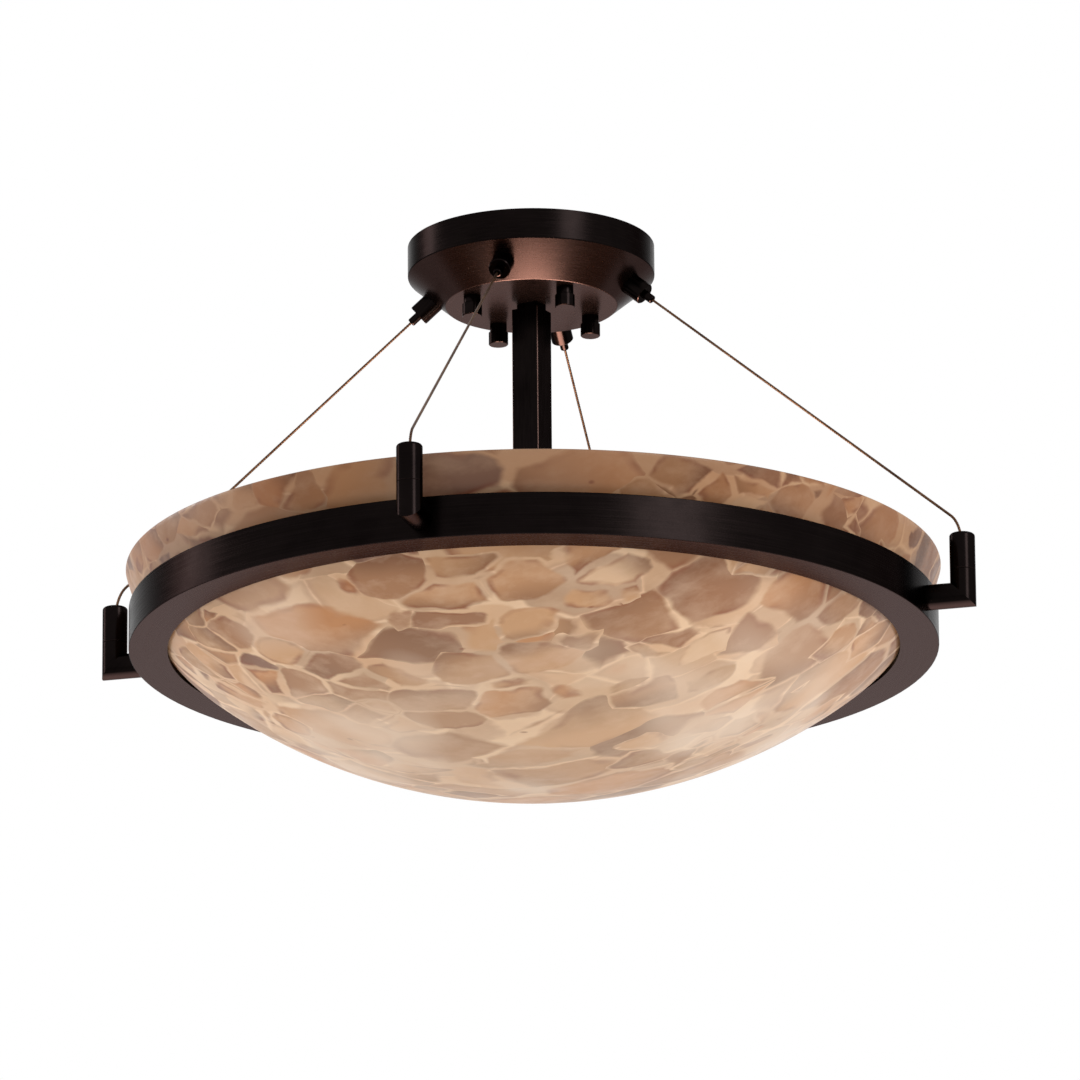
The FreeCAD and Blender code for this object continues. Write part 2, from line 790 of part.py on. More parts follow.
gripper_bodies = around(gripper_body_solid(), cable_count, first_cable_angle)
plungers = around(plunger_solid(), cable_count, first_cable_angle)
cables = around(cable_solid(), cable_count, first_cable_angle)
post_caps = around(post_cap_solid(), cable_count, first_cable_angle)
post_elbows = around(post_elbow_solid(), cable_count, first_cable_angle)
for n in range(cable_count):
    save("gripper_body_%d" % (n + 1), gripper_bodies[n])
    save("release_plunger_%d" % (n + 1), plungers[n])
    save("cable_%d" % (n + 1), cables[n])
    save("post_cap_%d" % (n + 1), post_caps[n])
    save("post_elbow_%d" % (n + 1), post_elbows[n])
save("gripper_nuts", Part.makeCompound(around(gripper_nut_solid(), cable_count, first_cable_angle)))
save("cable_stops", Part.makeCompound(around(cable_stop_solid(), cable_count, first_cable_angle)))
save("ring_screws", Part.makeCompound(around(ring_screw_solid(), cable_count, first_cable_angle)))

save("ring", ring_solid())
save("bowl", bowl_solid())
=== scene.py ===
import math

import bmesh
import bpy
from mathutils import Matrix, Vector


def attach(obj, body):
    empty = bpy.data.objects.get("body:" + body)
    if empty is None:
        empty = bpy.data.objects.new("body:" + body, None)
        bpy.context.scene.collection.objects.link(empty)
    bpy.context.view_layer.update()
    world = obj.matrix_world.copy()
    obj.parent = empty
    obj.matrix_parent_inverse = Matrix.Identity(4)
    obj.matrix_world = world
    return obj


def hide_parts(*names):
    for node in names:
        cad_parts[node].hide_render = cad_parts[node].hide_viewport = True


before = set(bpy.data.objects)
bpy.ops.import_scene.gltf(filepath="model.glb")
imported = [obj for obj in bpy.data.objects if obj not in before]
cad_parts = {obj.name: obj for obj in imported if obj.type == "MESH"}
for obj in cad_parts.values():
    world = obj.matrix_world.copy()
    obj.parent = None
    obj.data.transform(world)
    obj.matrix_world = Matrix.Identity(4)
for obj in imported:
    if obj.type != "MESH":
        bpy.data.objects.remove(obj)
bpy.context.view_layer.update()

# Metres. The ceiling is z = 0 and the stem is the Z axis, as in the CAD frame.

view = {
    "place": 15.5,        # degrees round the stem from straight in front
    "turn": 15.454,       # which way it looks, from straight back
    "distance": 4.830,    # level distance from the stem
    "drop": 1.6437,       # how far the camera is below the ceiling
    "pitch": 16.937,      # looking up
    "roll": -0.43,
    "lens": 300.0,        # millimetres, as is the sensor
    "sensor": 36.0,
    "nearest": 0.5,
    "farthest": 40.0,
}


def placeCamera():
    data = bpy.data.cameras.new("camera")
    data.lens = view["lens"]
    data.sensor_width = view["sensor"]
    data.clip_start = view["nearest"]
    data.clip_end = view["farthest"]
    camera = bpy.data.objects.new("camera", data)
    bpy.context.collection.objects.link(camera)
    turn = math.radians(view["place"])
    reach = view["distance"]
    place = Vector((reach * math.sin(turn), -reach * math.cos(turn), -view["drop"]))
    aim = Matrix.Rotation(math.radians(view["turn"]), 4, "Z")
    aim = aim @ Matrix.Rotation(math.radians(90 + view["pitch"]), 4, "X")
    aim = aim @ Matrix.Rotation(math.radians(view["roll"]), 4, "Z")
    camera.matrix_world = Matrix.Translation(place) @ aim
    bpy.context.scene.camera = camera


placeCamera()
bpy.context.scene.view_settings.view_transform = "Standard"

# the four cables come next, because the room they take is measured from the camera

cable = {
    "exit": (0.0711, 0, -0.0379),         # where it leaves the gripper's cone, at angle 0
    "corner": (0.24635, 0, -0.1851),
    "end": (0.24635, 0, -0.2017),
    "tail": 0.033,                        # behind the exit, through the gripper
    "innerRun": 0.025,
    "runBeforeCorner": 0.0166,
    "diameter": 0.0016,
    "length": 0.2775,
    "lobes": 6,
    "lobeDepth": 0.00011,
    "twist": 0.0095,                      # one turn of the strands
    "sides": 24,
    "readings": 170,                      # points per span of the spline
}
cableAngles = {1: -90, 2: 0, 3: 90, 4: 180}


def routePoints():
    exitPoint = Vector(cable["exit"])
    corner = Vector(cable["corner"])
    along = (corner - exitPoint).normalized()
    controls = [
        exitPoint - along * cable["tail"],
        corner - along * cable["runBeforeCorner"],
        corner,
        Vector(cable["end"]),
    ]
    curve = bpy.data.curves.new("cableRoute", "CURVE")
    curve.dimensions = "3D"
    curve.resolution_u = cable["readings"]
    spline = curve.splines.new("NURBS")
    spline.points.add(len(controls) - 1)
    for knot, place in zip(spline.points, controls):
        knot.co = (*place, 1)
    spline.order_u = 3
    spline.use_endpoint_u = True
    carrier = bpy.data.objects.new("cableRoute", curve)
    mesh = bpy.data.meshes.new_from_object(carrier)
    places = [vertex.co.copy() for vertex in mesh.vertices]
    bpy.data.objects.remove(carrier)
    return places


def matched(old, fresh):
    # the new ring in the old one's order: each new point shares an edge with the one it came from
    wanted = set(fresh)
    return [next(link.other_vert(vertex) for link in vertex.link_edges if link.other_vert(vertex) in wanted)
            for vertex in old]


def strandTube(places):
    # a ring with one lobe for each outer strand, extruded along the route and twisted as it goes
    bm = bmesh.new()
    radius = cable["diameter"] / 2
    ring = bmesh.ops.create_circle(bm, segments=cable["sides"], radius=radius)["verts"]
    for vertex in ring:
        around = math.atan2(vertex.co.y, vertex.co.x)
        dip = cable["lobeDepth"] * (0.5 - 0.5 * math.cos(cable["lobes"] * around))
        vertex.co *= (radius - dip) / radius
    shape = [vertex.co.copy() for vertex in ring]
    edges = list(bm.edges)
    side = Vector((0, 1, 0))
    walked = 0.0
    for index, place in enumerate(places):
        before = places[max(index - 1, 0)]
        after = places[min(index + 1, len(places) - 1)]
        ahead = (after - before).normalized()
        other = ahead.cross(side)
        if index:
            walked += (place - before).length
            made = bmesh.ops.extrude_edge_only(bm, edges=edges)["geom"]
            edges = [part for part in made if isinstance(part, bmesh.types.BMEdge)]
            fresh = [part for part in made if isinstance(part, bmesh.types.BMVert)]
            ring = matched(ring, fresh)
        turn = math.tau * walked / cable["twist"]
        for vertex, spot in zip(ring, shape):
            across = spot.x * math.cos(turn) - spot.y * math.sin(turn)
            up = spot.x * math.sin(turn) + spot.y * math.cos(turn)
            vertex.co = place + other * across + side * up
    bmesh.ops.holes_fill(bm, edges=[edge for edge in bm.edges if edge.is_boundary])
    bmesh.ops.recalc_face_normals(bm, faces=bm.faces)
    return bm


def makePiece(name, bm, body):
    mesh = bpy.data.meshes.new(name)
    bm.to_mesh(mesh)
    bm.free()
    for face in mesh.polygons:
        face.use_smooth = True
    piece = bpy.data.objects.new(name, mesh)
    bpy.context.collection.objects.link(piece)
    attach(piece, body)
    return piece


def makeCables():
    pieces = []
    places = routePoints()
    for number, angle in cableAngles.items():
        spin = Matrix.Rotation(math.radians(angle), 4, "Z")
        bm = strandTube(places)
        bmesh.ops.transform(bm, matrix=spin, verts=bm.verts)
        piece = makePiece("steelCable%d" % number, bm, "root")
        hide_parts("cable_%d" % number)
        pieces.append(piece)
    print("four cables, each %.1f mm" % (1000 * cable["length"]))
    return pieces


cables = makeCables()

# small helpers that the world, the floor and the materials share


def tint(red, green, blue):
    # an ordinary screen colour, 0 to 255, as the linear one that a shader takes
    parts = []
    for part in (red, green, blue):
        part = part / 255
        parts.append(part / 12.92 if part <= 0.04045 else ((part + 0.055) / 1.055) ** 2.4)
    return (*parts, 1.0)


def feed(tree, socket, value):
    if isinstance(value, bpy.types.NodeSocket):
        tree.links.new(value, socket)
    else:
        socket.default_value = value


def sums(tree, operation, first, second=0.0, third=0.0):
    node = tree.nodes.new("ShaderNodeMath")
    node.operation = operation
    for socket, value in zip(node.inputs, (first, second, third)):
        feed(tree, socket, value)
    return node.outputs[0]


def product(tree, first, second):
    return sums(tree, "MULTIPLY", first, second)


def vectorSums(tree, operation, first, second=(0, 0, 0), scale=None):
    node = tree.nodes.new("ShaderNodeVectorMath")
    node.operation = operation
    feed(tree, node.inputs[0], first)
    if scale is None:
        feed(tree, node.inputs[1], second)
    else:
        feed(tree, node.inputs["Scale"], scale)
    return node.outputs["Value" if operation in ("DOT_PRODUCT", "LENGTH") else "Vector"]


def mixed(tree, share, first, second, blend="MIX"):
    node = tree.nodes.new("ShaderNodeMix")
    node.data_type = "RGBA"
    node.blend_type = blend
    feed(tree, node.inputs[0], share)
    feed(tree, node.inputs[6], first)
    feed(tree, node.inputs[7], second)
    return node.outputs[2]


def stretched(tree, value, low, high, newLow=0.0, newHigh=1.0, smooth=False):
    node = tree.nodes.new("ShaderNodeMapRange")
    if smooth:
        node.interpolation_type = "SMOOTHSTEP"
    for name, part in (("Value", value), ("From Min", low), ("From Max", high),
                       ("To Min", newLow), ("To Max", newHigh)):
        feed(tree, node.inputs[name], part)
    return node.outputs["Result"]


def cloud(tree, vector, scale, detail, roughness):
    node = tree.nodes.new("ShaderNodeTexNoise")
    feed(tree, node.inputs["Vector"], vector)
    node.inputs["Scale"].default_value = scale
    node.inputs["Detail"].default_value = detail
    node.inputs["Roughness"].default_value = roughness
    return node


def cloudy(tree, vector, scale, detail, roughness):
    return cloud(tree, vector, scale, detail, roughness).outputs[0]


def cells(tree, vector, scale, feature="F1", randomness=1.0):
    node = tree.nodes.new("ShaderNodeTexVoronoi")
    node.feature = feature
    feed(tree, node.inputs["Vector"], vector)
    node.inputs["Scale"].default_value = scale
    node.inputs["Randomness"].default_value = randomness
    return node


def picked(tree, share, stops):
    # one of the colours, with no blend between them
    node = tree.nodes.new("ShaderNodeValToRGB")
    feed(tree, node.inputs[0], share)
    band = node.color_ramp
    band.interpolation = "CONSTANT"
    while len(band.elements) < len(stops):
        band.elements.new(0.5)
    for element, (place, colour) in zip(band.elements, stops):
        element.position = place
        element.color = colour
    return node.outputs[0]


def raised(tree, shader, height, distance, strength):
    node = tree.nodes.new("ShaderNodeBump")
    node.inputs["Strength"].default_value = strength
    node.inputs["Distance"].default_value = distance
    feed(tree, node.inputs["Height"], height)
    tree.links.new(node.outputs[0], shader.inputs["Normal"])


def parted(tree, vector):
    node = tree.nodes.new("ShaderNodeSeparateXYZ")
    feed(tree, node.inputs[0], vector)
    return node.outputs


def joined(tree, across, along, up):
    node = tree.nodes.new("ShaderNodeCombineXYZ")
    for socket, value in zip(node.inputs, (across, along, up)):
        feed(tree, socket, value)
    return node.outputs[0]


def roughened(tree, shader, noise, low, high):
    # almost all of a noise lies between 0.3 and 0.7
    tree.links.new(stretched(tree, noise, 0.3, 0.7, low, high), shader.inputs["Roughness"])


def blankMaterial(name, **values):
    material = bpy.data.materials.new(name)
    material.use_nodes = True
    tree = material.node_tree
    shader = tree.nodes["Principled BSDF"]
    for socket, value in values.items():
        shader.inputs[socket.replace("_", " ")].default_value = value
    return material, tree, shader


def startMaterial(name, **values):
    material, tree, shader = blankMaterial(name, **values)
    place = tree.nodes.new("ShaderNodeTexCoord").outputs["Object"]
    return material, tree, shader, place


# the room: a white world, a pale floor far below, and soft lamps

room = {
    "floorDepth": -2.7,
    "floorSize": 14.0,
    "floorColour": (0.82, 0.81, 0.79, 1),
    "floorRoughness": 0.8,
    "floorPaleness": 0.32,    # added where the camera or a shiny piece sees it
    "fillLevel": 0.36,        # what the walls give to matt surfaces
}


def makeWorld():
    world = bpy.data.worlds.new("studio")
    bpy.context.scene.world = world
    world.use_nodes = True
    tree = world.node_tree
    tree.nodes.clear()
    seen = tree.nodes.new("ShaderNodeLightPath")
    direct = sums(tree, "MAXIMUM", seen.outputs["Is Camera Ray"], seen.outputs["Is Transmission Ray"])
    shown = sums(tree, "MAXIMUM", direct, seen.outputs["Is Glossy Ray"])
    back = tree.nodes.new("ShaderNodeBackground")
    back.inputs["Color"].default_value = (1, 1, 1, 1)
    tree.links.new(stretched(tree, shown, 0.0, 1.0, room["fillLevel"], 1.0), back.inputs["Strength"])
    out = tree.nodes.new("ShaderNodeOutputWorld")
    tree.links.new(back.outputs[0], out.inputs["Surface"])


def floorMaterial():
    material, tree, shader = blankMaterial("paleFloor", Roughness=room["floorRoughness"],
                                           Base_Color=room["floorColour"], Emission_Color=(1, 1, 1, 1))
    seen = tree.nodes.new("ShaderNodeLightPath")
    shown = sums(tree, "MAXIMUM", seen.outputs["Is Camera Ray"], seen.outputs["Is Glossy Ray"])
    tree.links.new(product(tree, shown, room["floorPaleness"]), shader.inputs["Emission Strength"])
    # its back is clear, so that the lamp can be looked at from far below
    side = tree.nodes.new("ShaderNodeNewGeometry")
    clear = tree.nodes.new("ShaderNodeBsdfTransparent")
    cover = tree.nodes.new("ShaderNodeMixShader")
    fromBelow = product(tree, side.outputs["Backfacing"], seen.outputs["Is Camera Ray"])
    tree.links.new(fromBelow, cover.inputs[0])
    tree.links.new(shader.outputs[0], cover.inputs[1])
    tree.links.new(clear.outputs[0], cover.inputs[2])
    tree.links.new(cover.outputs[0], tree.nodes["Material Output"].inputs["Surface"])
    return material


def makeFloor():
    bm = bmesh.new()
    bmesh.ops.create_grid(bm, x_segments=2, y_segments=2, size=room["floorSize"] / 2)
    bmesh.ops.translate(bm, verts=bm.verts, vec=(0, 0, room["floorDepth"]))
    mesh = bpy.data.meshes.new("floor")
    bm.to_mesh(mesh)
    bm.free()
    mesh.materials.append(floorMaterial())
    floor = bpy.data.objects.new("floor", mesh)
    bpy.context.collection.objects.link(floor)


lampAim = (0, 0, -0.18)    # the middle of the ceiling light
softLights = [
    # power in watts; a mirrored one also shows in shiny pieces
    {"name": "keyRight", "place": (3.1, -2.3, 1.0), "size": (1.3, 1.8), "power": 62, "mirrored": True},
    {"name": "fillLeft", "place": (-3.6, 0.3, 0.9), "size": (1.0, 1.6), "power": 62, "mirrored": True},
    {"name": "sideRight", "place": (3.8, 0.9, -0.4), "size": (1.2, 1.6), "power": 66, "mirrored": False},
    {"name": "sideLeft", "place": (-3.8, -0.9, -0.4), "size": (1.2, 1.6), "power": 42, "mirrored": False},
    {"name": "lowFront", "place": (0.6, -1.6, -2.5), "size": (2.0, 1.6), "power": 18, "mirrored": False},
]
bulbGlow = {
    # what the three bulbs throw up at the canopy
    "place": (0, 0, -0.196),
    "size": 0.16,
    "power": 1.0,
    "colour": (1.0, 0.80, 0.64),
}


def hangLamp(name, shape, power):
    data = bpy.data.lights.new(name, "AREA")
    data.shape = shape
    data.energy = power
    lamp = bpy.data.objects.new(name, data)
    bpy.context.collection.objects.link(lamp)
    lamp.visible_camera = False
    return lamp, data


def makeLights():
    for light in softLights:
        lamp, data = hangLamp(light["name"], "RECTANGLE", light["power"])
        data.size, data.size_y = light["size"]
        place = Vector(light["place"])
        lamp.location = place
        lamp.rotation_mode = "QUATERNION"
        lamp.rotation_quaternion = (Vector(lampAim) - place).to_track_quat("-Z", "Y")
        lamp.visible_glossy = light["mirrored"]
    lamp, data = hangLamp("bulbGlow", "DISK", bulbGlow["power"])
    data.size = bulbGlow["size"]
    data.color = bulbGlow["colour"]
    lamp.location = bulbGlow["place"]
    lamp.rotation_euler = (math.pi, 0, 0)


makeWorld()
makeFloor()
makeLights()
print("camera, floor and lights placed")

# Finishes of the metal parts. Scales are in features per metre.

bronze = {
    "dark": (0.0036, 0.0026, 0.0025, 1),
    "light": (0.0088, 0.0062, 0.0059, 1),
    "edge": (0.497, 0.494, 0.494, 1),     # how a grazing look is coloured
    "paintedUnderLight": (0.112, 0.064, 0.058, 1),    # painted light: faces that look down are lighter and warmer, as if lit from below
    "paintedUnderLightStarts": -0.66,                 # the normal's Z where that painted light begins
    "roundMarks": 5.0,                    # turning marks, along them
    "acrossMarks": 1500.0,                # and across them
    "drawnMarks": (900, 900, 60),         # drawing marks up the stem
    "patina": 28.0,
    "dust": 900.0,
    "roughLow": 0.21,
    "roughHigh": 0.31,
    "markDepth": 0.00002,
    "markStrength": 0.2,
    "corner": tint(78, 60, 55),           # painted highlight along the square stem's corners
    "cornerHighlightStarts": 0.01128,              # how far from the stem's axis
    "cornerHighlightFull": 0.01138,
}


def fromAxis(tree, place):
    flat = vectorSums(tree, "MULTIPLY", place, (1, 1, 0))
    return flat, vectorSums(tree, "LENGTH", flat)


def lathePlace(tree, place):
    # coordinates that run slowly round the stem's axis and quickly across it, for turning marks
    flat, radius = fromAxis(tree, place)
    around = parted(tree, vectorSums(tree, "NORMALIZE", flat))
    height = parted(tree, place)[2]
    across = product(tree, sums(tree, "ADD", height, radius), bronze["acrossMarks"])
    return joined(tree, product(tree, around[0], bronze["roundMarks"]),
                  product(tree, around[1], bronze["roundMarks"]), across)


def bronzeMaterial(name, turned=True, smoother=0.0):
    material, tree, shader, place = startMaterial(name, Metallic=1.0, Specular_Tint=bronze["edge"])
    if turned:
        marksPlace = lathePlace(tree, place)
    else:
        marksPlace = vectorSums(tree, "MULTIPLY", place, bronze["drawnMarks"])
    marks = cloudy(tree, marksPlace, 1.0, 4.0, 0.6)
    patina = cloudy(tree, place, bronze["patina"], 5.0, 0.6)
    dust = cloudy(tree, place, bronze["dust"], 2.0, 0.5)
    share = sums(tree, "MULTIPLY_ADD", marks, 0.45, product(tree, patina, 0.6))
    colour = mixed(tree, stretched(tree, share, 0.35, 0.75), bronze["dark"], bronze["light"])
    facing = parted(tree, tree.nodes["Texture Coordinate"].outputs["Normal"])[2]
    # painted light from below: faces that look down get a lighter, warmer colour
    colour = mixed(tree, stretched(tree, facing, bronze["paintedUnderLightStarts"], -1.0), colour, bronze["paintedUnderLight"])
    if not turned:
        # painted highlight: a lighter line along the stem's four corners
        _, reach = fromAxis(tree, place)
        paintedCornerHighlight = stretched(tree, reach, bronze["cornerHighlightStarts"], bronze["cornerHighlightFull"])
        colour = mixed(tree, paintedCornerHighlight, colour, bronze["corner"])
    tree.links.new(colour, shader.inputs["Base Color"])
    rough = sums(tree, "ADD", product(tree, marks, 0.7), product(tree, dust, 0.3))
    roughened(tree, shader, rough, bronze["roughLow"] - smoother, bronze["roughHigh"] - smoother)
    raised(tree, shader, marks, bronze["markDepth"], bronze["markStrength"] - 2 * smoother)
    return material


steel = {
    # two tones and a roughness for each plating
    "zinc": (tint(150, 152, 156), tint(196, 198, 200), 0.32),
    "brass": (tint(150, 112, 52), tint(214, 172, 92), 0.28),
    "green": (tint(26, 84, 44), tint(58, 134, 78), 0.3),
    "tin": (tint(168, 168, 166), tint(214, 214, 212), 0.3),
    "spangle": 220.0,
    "wear": 70.0,
    "grain": 1600.0,
    "grainDepth": 0.00001,
}


def platedMaterial(name, plating):
    material, tree, shader, place = startMaterial(name, Metallic=1.0)
    low, high, rough = steel[plating]
    spangle = cells(tree, place, steel["spangle"])
    wear = cloudy(tree, place, steel["wear"], 5.0, 0.6)
    bright = parted(tree, spangle.outputs["Color"])[0]
    flecks = sums(tree, "MULTIPLY_ADD", bright, 0.3, product(tree, wear, 0.8))
    tree.links.new(mixed(tree, stretched(tree, flecks, 0.3, 0.8), low, high), shader.inputs["Base Color"])
    roughened(tree, shader, wear, rough - 0.08, rough + 0.1)
    raised(tree, shader, cloudy(tree, place, steel["grain"], 2.0, 0.5), steel["grainDepth"], 0.3)
    return material


hub = {
    "low": tint(214, 210, 200),
    "high": tint(232, 229, 221),
    "rough": (0.36, 0.5),
    "mottle": 90.0,
    "peel": 700.0,
    "peelDepth": 0.00004,
}


def paintMaterial():
    material, tree, shader, place = startMaterial("hubEnamel", Metallic=0.0, Coat_Weight=0.25,
                                                  Coat_Roughness=0.2)
    mottle = cloudy(tree, place, hub["mottle"], 4.0, 0.6)
    tree.links.new(mixed(tree, mottle, hub["low"], hub["high"]), shader.inputs["Base Color"])
    roughened(tree, shader, mottle, *hub["rough"])
    raised(tree, shader, cloudy(tree, place, hub["peel"], 2.0, 0.4), hub["peelDepth"], 0.4)
    return material


holder = {
    "low": tint(226, 221, 209),
    "high": tint(240, 237, 229),
    "speck": tint(176, 160, 138),
    "rough": (0.22, 0.34),
    "clay": 60.0,
    "specks": 420.0,
    "specksLeftOut": 0.93,    # share of the cells that hold none
    "clayDepth": 0.0002,
}


def porcelainMaterial():
    material, tree, shader, place = startMaterial("porcelain", Coat_Weight=0.6, Coat_Roughness=0.08)
    clay = cloudy(tree, place, holder["clay"], 5.0, 0.6)
    specks = cells(tree, place, holder["specks"])
    speck = stretched(tree, specks.outputs["Distance"], 0.10, 0.16, 1.0, 0.0)
    chosen = sums(tree, "GREATER_THAN", parted(tree, specks.outputs["Color"])[1], holder["specksLeftOut"])
    colour = mixed(tree, clay, holder["low"], holder["high"])
    colour = mixed(tree, product(tree, speck, chosen), colour, holder["speck"])
    tree.links.new(colour, shader.inputs["Base Color"])
    roughened(tree, shader, clay, *holder["rough"])
    raised(tree, shader, clay, holder["clayDepth"], 0.25)
    return material


bulb = {
    "low": tint(226, 221, 209),
    "high": tint(245, 242, 233),
    "glow": tint(255, 240, 214),
    "rough": (0.4, 0.55),
    "frost": 130.0,
}


def glassMaterial():
    # an inside-frosted bulb: milky, a little lit from within
    material, tree, shader, place = startMaterial(
        "frostedGlass", Transmission_Weight=0.35, Emission_Strength=0.12, Coat_Weight=0.5,
        Coat_Roughness=0.05, Emission_Color=bulb["glow"])
    frost = cloudy(tree, place, bulb["frost"], 5.0, 0.6)
    tree.links.new(mixed(tree, frost, bulb["low"], bulb["high"]), shader.inputs["Base Color"])
    roughened(tree, shader, frost, *bulb["rough"])
    return material


strand = {
    "low": tint(46, 32, 27),
    "high": tint(112, 82, 60),
    "rough": (0.28, 0.42),
    "wires": 1300.0,
    "tarnish": 45.0,
}


def cableMaterial():
    material, tree, shader, place = startMaterial("cableSteel", Metallic=1.0)
    wires = cloudy(tree, place, strand["wires"], 3.0, 0.6)
    tarnish = cloudy(tree, place, strand["tarnish"], 4.0, 0.6)
    share = sums(tree, "MULTIPLY_ADD", wires, 0.5, product(tree, tarnish, 0.5))
    colour = mixed(tree, stretched(tree, share, 0.35, 0.65), strand["low"], strand["high"])
    tree.links.new(colour, shader.inputs["Base Color"])
    roughened(tree, shader, wires, *strand["rough"])
    return material


# the bowl: cast resin full of stone chips, with cream filler between them

bowl = {
    "pole": -0.3148,
    "rim": -0.1909,
    "lowerRadius": 0.3088,    # the shallow middle
    "lowerTurn": 37.6,        # degrees from the pole to where the side begins
    "upperRadius": 0.1129,    # the side
    "wall": 0.006,
    "rimRound": 0.0012,
    "segments": 256,
    "lowerSteps": 40,
    "upperSteps": 26,
    "merge": 0.00002,
}


def halfOutline(bm, inset):
    # one face of the bowl from its pole to its rim, as two spun arcs; gives back the rim's point
    lower = bowl["lowerRadius"] - inset
    upper = bowl["upperRadius"] - inset
    turn = math.radians(bowl["lowerTurn"])
    lowerCentre = Vector((0, 0, bowl["pole"] + bowl["lowerRadius"]))
    gap = bowl["lowerRadius"] - bowl["upperRadius"]
    upperCentre = lowerCentre + gap * Vector((math.sin(turn), 0, -math.cos(turn)))
    rimTurn = math.acos((upperCentre.z - bowl["rim"]) / upper)
    start = bmesh.ops.create_vert(bm, co=lowerCentre - Vector((0, 0, lower)))["vert"][0]
    first = bmesh.ops.spin(bm, geom=[start], cent=lowerCentre, axis=(0, -1, 0), angle=turn,
                           steps=bowl["lowerSteps"], use_duplicate=False)
    corner = [part for part in first["geom_last"] if isinstance(part, bmesh.types.BMVert)]
    second = bmesh.ops.spin(bm, geom=corner, cent=upperCentre, axis=(0, -1, 0), angle=rimTurn - turn,
                            steps=bowl["upperSteps"], use_duplicate=False)
    rim = [part for part in second["geom_last"] if isinstance(part, bmesh.types.BMVert)]
    return rim[0]


def runsRoundRim(edge):
    low, high = edge.verts
    level = all(abs(vertex.co.z - bowl["rim"]) < 0.00001 for vertex in edge.verts)
    return level and abs(low.co.xy.length - high.co.xy.length) < 0.0001


def makeBowl():
    bm = bmesh.new()
    outerRim = halfOutline(bm, 0.0)
    innerRim = halfOutline(bm, bowl["wall"])
    bm.edges.new((outerRim, innerRim))
    bmesh.ops.spin(bm, geom=bm.verts[:] + bm.edges[:], cent=(0, 0, 0), axis=(0, 0, 1), angle=math.tau,
                   steps=bowl["segments"], use_merge=True, use_duplicate=False)
    bmesh.ops.remove_doubles(bm, verts=bm.verts, dist=bowl["merge"])
    bmesh.ops.dissolve_degenerate(bm, edges=bm.edges, dist=bowl["merge"])
    bmesh.ops.recalc_face_normals(bm, faces=bm.faces)
    rimEdges = [edge for edge in bm.edges if runsRoundRim(edge)]
    bmesh.ops.bevel(bm, geom=rimEdges, affect="EDGES", offset=bowl["rimRound"], segments=4,
                    profile=0.5, material=-1)
    piece = makePiece("stoneBowl", bm, "bowl")
    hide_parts("bowl")
    return piece


stone = {
    "warp": 0.011,                    # how much the swirls bend the chips' edges, in metres
    "swirl": 30.0,
    "stretch": (0.60, 1.10, 1.28),    # chips lie long along X
    "scatter": 0.9,                   # how far the chips stray from a grid
    # cells per metre, narrowest and widest gap in cells, and where the pattern starts
    "large": (26.0, 0.025, 0.11, (0, 0, 0)),
    "small": (46.0, 0.03, 0.12, (0.31, 0.17, 0.09)),
    "buried": (33.0, 0.0, 0.05, (0.53, 0.41, 0.27)),
    "largeShown": 0.72,               # share of the large cells that hold a chip
    "smallLeftOut": 0.58,             # share of the large cells that hold no small chips
    "corner": 0.68,                   # how far from its middle a chip may reach, in cells
    "matrixLow": tint(212, 170, 132),
    "matrixHigh": tint(238, 207, 174),
    "rust": tint(128, 62, 32),
    "shadow": tint(118, 76, 50),
    "pale": tint(224, 192, 164),
    "palette": [
        (0.00, tint(130, 93, 75)),
        (0.05, tint(152, 106, 75)),
        (0.17, tint(178, 130, 91)),
        (0.33, tint(190, 141, 101)),
        (0.50, tint(164, 118, 84)),
        (0.62, tint(196, 149, 108)),
        (0.76, tint(186, 129, 84)),
        (0.86, tint(172, 129, 92)),
        (0.95, tint(212, 175, 140)),
    ],
    "cream": 50.0,
    "crumbs": 130.0,
    "crumbsLeftOut": 0.975,
    "milk": tint(234, 212, 192),      # whiter stretches of the resin, with a painted glow that makes them stronger low on the bowl
    "milkScale": 9.0,
    "paintedGlowHeights": (-0.235, -0.290),
    "paintedLowLight": tint(236, 208, 178),   # painted light: the low middle of the bowl is paler
    "paintedLowLightShare": 0.22,
    "paintedLowLightHeights": (-0.25, -0.312),
    "paintedSideShade": tint(190, 176, 164),  # painted shade: its steeper upper side is darker
    "paintedSideShadeHeights": (-0.25, -0.205),
    "rough": (0.34, 0.48),
    "polish": 110.0,
    "bumpDepth": 0.00025,
    "glow": 0.12,
}


